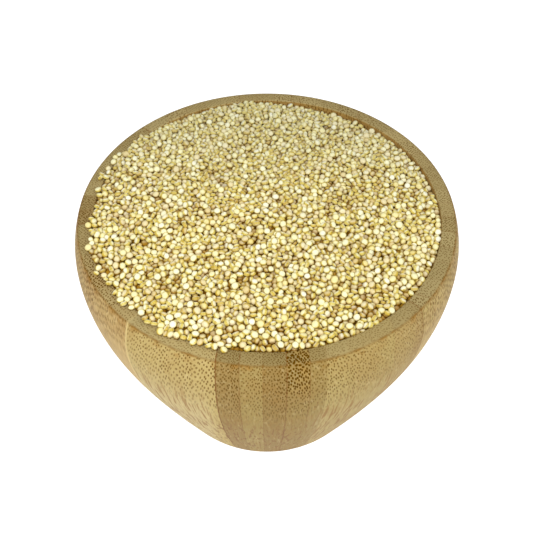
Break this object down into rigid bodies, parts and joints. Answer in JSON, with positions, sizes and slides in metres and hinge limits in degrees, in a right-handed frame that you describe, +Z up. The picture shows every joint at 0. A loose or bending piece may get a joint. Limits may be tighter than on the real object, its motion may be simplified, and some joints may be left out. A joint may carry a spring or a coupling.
{
  "type": "bowl of quinoa",
  "caption": "Deep round bowl turned from laminated bamboo, with a flat lip and a narrower flat foot, filled to the brim with raw white quinoa.",
  "frame": {"origin": "centre of the bowl's flat foot, on the surface that the bowl stands on", "axes": "+Z up along the bowl's turning axis, -Y towards the front as pictured, +X to the right"},
  "size_m": [0.124, 0.124, 0.0921],
  "materials": {
    "bamboo": "oiled end grain and side grain of glued strips, with fine dark fibre marks",
    "quinoa": "matt raw grain in pale cream to tan"
  },
  "bodies": {
    "root": {"bowl": "bamboo", "quinoa": "quinoa"}
  },
  "joints": []
}
